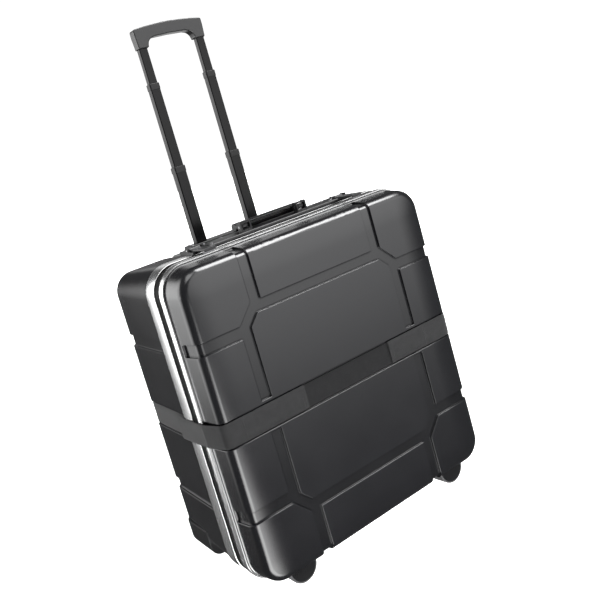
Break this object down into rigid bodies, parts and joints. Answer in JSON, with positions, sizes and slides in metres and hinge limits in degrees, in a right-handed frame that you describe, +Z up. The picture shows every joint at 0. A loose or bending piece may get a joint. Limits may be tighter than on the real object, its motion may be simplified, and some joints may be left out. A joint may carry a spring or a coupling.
{
  "type": "rolling tool case",
  "caption": "Square hard-shell rolling case with aluminium double frame, telescopic handle, top carry handle, rear wheels, front feet and an all-round strap.",
  "frame": {"origin": "centre of the footprint, on the plane under the wheels and feet", "axes": "+X along the width, -Y out of the front (lid) face, +Z up"},
  "size_m": [0.6552, 0.345, 1.2108],
  "materials": {
    "shell_plastic": "fine-grained satin moulded shell",
    "frame_aluminium": "bright satin extrusion",
    "seal_rubber": "matt",
    "black_plastic": "satin",
    "button_plastic": "matt",
    "latch_plastic": "satin",
    "bright_metal": "nickel plated",
    "dark_steel": "zinc plated and dulled",
    "handle_tube_black": "black anodised",
    "tyre_rubber": "matt",
    "hub_plastic": "satin",
    "webbing": "woven polyester webbing",
    "hook_tape": "hook-and-loop tape"
  },
  "bodies": {
    "case": {"rear_shell": "shell_plastic", "rear_frame": "frame_aluminium", "frame_seal": "seal_rubber", "top_module": "black_plastic", "handle_bezel": "black_plastic", "handle_tube_bracket": "black_plastic", "strap_rear": "webbing", "hinge_left_case_leaf": "dark_steel", "hinge_left_pin": "bright_metal", "latch_left_base": "black_plastic", "latch_left_pin": "bright_metal", "carry_bracket_left": "black_plastic", "carry_pin_left": "dark_steel", "handle_fixed_tube_left": "handle_tube_black", "wheel_housing_left": "black_plastic", "wheel_axle_left": "dark_steel", "hinge_right_case_leaf": "dark_steel", "hinge_right_pin": "bright_metal", "latch_right_base": "black_plastic", "latch_right_pin": "bright_metal", "carry_bracket_right": "black_plastic", "carry_pin_right": "dark_steel", "handle_fixed_tube_right": "handle_tube_black", "wheel_housing_right": "black_plastic", "wheel_axle_right": "dark_steel"},
    "lid": {"front_shell": "shell_plastic", "front_frame": "frame_aluminium", "strap_front_left": "webbing", "strap_front_right": "webbing", "strap_front_centre": "hook_tape", "hinge_left_lid_leaf": "dark_steel", "latch_left_keeper": "dark_steel", "foot_block_left": "black_plastic", "foot_tread_left": "tyre_rubber", "hinge_right_lid_leaf": "dark_steel", "latch_right_keeper": "dark_steel", "foot_block_right": "black_plastic", "foot_tread_right": "tyre_rubber"},
    "carry_handle": {"carry_handle": "black_plastic"},
    "handle_lower_stage": {"handle_lower_tube_left": "handle_tube_black", "handle_lower_tube_right": "handle_tube_black", "handle_lower_collars": "black_plastic", "handle_lower_detents": "button_plastic"},
    "handle_middle_stage": {"handle_middle_tube_left": "handle_tube_black", "handle_middle_tube_right": "handle_tube_black", "handle_middle_collars": "black_plastic", "handle_middle_detents": "button_plastic"},
    "handle_upper_stage": {"handle_upper_tube_left": "handle_tube_black", "handle_upper_tube_right": "handle_tube_black", "handle_grip": "black_plastic"},
    "handle_release_button": {"handle_release_button": "button_plastic"},
    "latch_left_lever": {"latch_left_lever": "latch_plastic"},
    "latch_left_key_cylinder": {"latch_left_key_cylinder": "bright_metal"},
    "wheel_left": {"wheel_tyre_left": "tyre_rubber", "wheel_hub_left": "hub_plastic"},
    "latch_right_lever": {"latch_right_lever": "latch_plastic"},
    "latch_right_key_cylinder": {"latch_right_key_cylinder": "bright_metal"},
    "wheel_right": {"wheel_tyre_right": "tyre_rubber", "wheel_hub_right": "hub_plastic"}
  },
  "joints": [
    {"name": "lid_hinge", "type": "hinge", "parent": "case", "child": "lid", "pos_m": [0, -0.0865, 0.021], "axis": [1, 0, 0], "range_deg": [0, 110]},
    {"name": "carry_handle_pivot", "type": "hinge", "parent": "case", "child": "carry_handle", "pos_m": [0, -0.064, 0.7225], "axis": [1, 0, 0], "range_deg": [0, 90]},
    {"name": "handle_lower_slide", "type": "slide", "parent": "case", "child": "handle_lower_stage", "axis": [0, 0, 1], "range_m": [-0.17, 0]},
    {"name": "handle_middle_slide", "type": "slide", "parent": "handle_lower_stage", "child": "handle_middle_stage", "axis": [0, 0, 1], "range_m": [-0.181, 0]},
    {"name": "handle_upper_slide", "type": "slide", "parent": "handle_middle_stage", "child": "handle_upper_stage", "axis": [0, 0, 1], "range_m": [-0.079, 0]},
    {"name": "release_button_press", "type": "slide", "parent": "handle_upper_stage", "child": "handle_release_button", "axis": [0, 0, -1], "range_m": [0, 0.004], "stiffness_N_per_m": 300, "springref_m": -0.002},
    {"name": "latch_left_pivot", "type": "hinge", "parent": "case", "child": "latch_left_lever", "pos_m": [-0.197, -0.05, 0.712], "axis": [-1, 0, 0], "range_deg": [0, 95]},
    {"name": "latch_left_key_turn", "type": "hinge", "parent": "latch_left_lever", "child": "latch_left_key_cylinder", "pos_m": [-0.197, -0.072, 0.712], "axis": [0, 0, 1], "range_deg": [0, 90]},
    {"name": "wheel_left_spin", "type": "hinge", "parent": "case", "child": "wheel_left", "pos_m": [-0.245, 0.13, 0.04], "axis": [1, 0, 0], "continuous": true},
    {"name": "latch_right_pivot", "type": "hinge", "parent": "case", "child": "latch_right_lever", "pos_m": [0.197, -0.05, 0.712], "axis": [-1, 0, 0], "range_deg": [0, 95]},
    {"name": "latch_right_key_turn", "type": "hinge", "parent": "latch_right_lever", "child": "latch_right_key_cylinder", "pos_m": [0.197, -0.072, 0.712], "axis": [0, 0, 1], "range_deg": [0, 90]},
    {"name": "wheel_right_spin", "type": "hinge", "parent": "case", "child": "wheel_right", "pos_m": [0.245, 0.13, 0.04], "axis": [1, 0, 0], "continuous": true}
  ]
}
